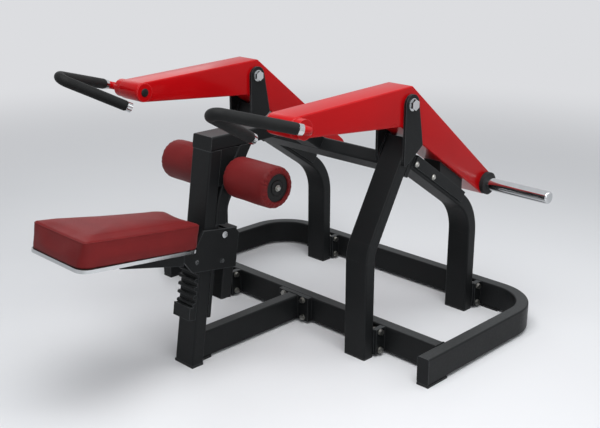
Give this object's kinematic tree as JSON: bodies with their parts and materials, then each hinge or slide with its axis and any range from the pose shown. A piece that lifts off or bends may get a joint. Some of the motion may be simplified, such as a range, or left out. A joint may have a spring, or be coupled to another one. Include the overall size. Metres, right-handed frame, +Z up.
{
  "type": "seated dip machine",
  "caption": "Plate-loaded seated dip machine with independent red lever arms, V handles, weight horns, thigh rollers and a rack-adjusted maroon seat on a charcoal tube frame",
  "frame": {"origin": "centre of the floor area under the machine, on the floor", "axes": "+Z up; +Y to the rear, the way the seated user faces; +X to the user's right"},
  "size_m": [1.474, 1.7228, 1.0312],
  "materials": {
    "frame_paint": "charcoal powder coat with a fine texture",
    "arm_paint": "gloss red paint",
    "vinyl": "maroon upholstery vinyl over foam",
    "chrome": "bright chrome plate",
    "zinc_steel": "zinc plated steel",
    "rubber": "matte black rubber",
    "grip_foam": "closed cell black foam",
    "black_plastic": "moulded black nylon",
    "bush_bronze": "oil bronze",
    "seat_ply": "plywood stained black"
  },
  "bodies": {
    "frame": {"base_corner_left": "frame_paint", "base_corner_right": "frame_paint", "front_rail": "frame_paint", "rear_rail": "frame_paint", "centre_beam": "frame_paint", "rail_plates": "frame_paint", "post_plates": "frame_paint", "centre_flanges": "frame_paint", "frame_bolts": "zinc_steel", "floor_pads": "rubber", "front_post_left": "frame_paint", "front_post_right": "frame_paint", "rear_strut_left": "frame_paint", "rear_strut_right": "frame_paint", "strut_flanges": "frame_paint", "pivot_ears": "frame_paint", "pivot_bolts": "chrome", "cross_beam": "frame_paint", "top_beam": "frame_paint", "front_upright": "frame_paint", "thigh_brace": "frame_paint", "upright_gussets": "frame_paint", "guide_bar": "zinc_steel", "seat_rack": "frame_paint", "stop_saddles": "frame_paint", "stop_bumpers": "rubber", "roller_axle": "zinc_steel"},
    "left_arm": {"arm_left": "arm_paint", "pivot_tube_left": "arm_paint", "pivot_bushes_left": "bush_bronze", "grip_hub_left": "arm_paint", "handle_bar_left": "chrome", "handle_grip_left": "grip_foam", "horn_left": "chrome", "horn_collar_left": "rubber", "horn_bolt_left": "chrome"},
    "right_arm": {"arm_right": "arm_paint", "pivot_tube_right": "arm_paint", "pivot_bushes_right": "bush_bronze", "grip_hub_right": "arm_paint", "handle_bar_right": "chrome", "handle_grip_right": "grip_foam", "horn_right": "chrome", "horn_collar_right": "rubber", "horn_bolt_right": "chrome"},
    "seat": {"carriage_plates": "frame_paint", "carriage_tail": "frame_paint", "seat_glides": "black_plastic", "carriage_pins": "chrome", "seat_arm": "frame_paint", "seat_board": "seat_ply", "seat_rim": "chrome", "seat_pad": "vinyl"},
    "left_roller": {"roller_pad_left": "vinyl", "roller_core_left": "zinc_steel", "roller_caps_left": "black_plastic"},
    "right_roller": {"roller_pad_right": "vinyl", "roller_core_right": "zinc_steel", "roller_caps_right": "black_plastic"}
  },
  "joints": [
    {"name": "left_arm_press", "type": "hinge", "parent": "frame", "child": "left_arm", "pos_m": [-0.395, 0.30986, 0.91773], "axis": [1, 0, 0], "range_deg": [0, 36]},
    {"name": "right_arm_press", "type": "hinge", "parent": "frame", "child": "right_arm", "pos_m": [0.395, 0.30986, 0.91773], "axis": [1, 0, 0], "range_deg": [0, 36]},
    {"name": "seat_height", "type": "slide", "parent": "frame", "child": "seat", "axis": [0, 0.1478, 0.989], "range_m": [-0.09, 0]},
    {"name": "left_roller_spin", "type": "hinge", "parent": "frame", "child": "left_roller", "pos_m": [-0.1675, -0.16026, 0.67675], "axis": [1, 0, 0], "continuous": true},
    {"name": "right_roller_spin", "type": "hinge", "parent": "frame", "child": "right_roller", "pos_m": [0.1675, -0.16026, 0.67675], "axis": [1, 0, 0], "continuous": true}
  ]
}
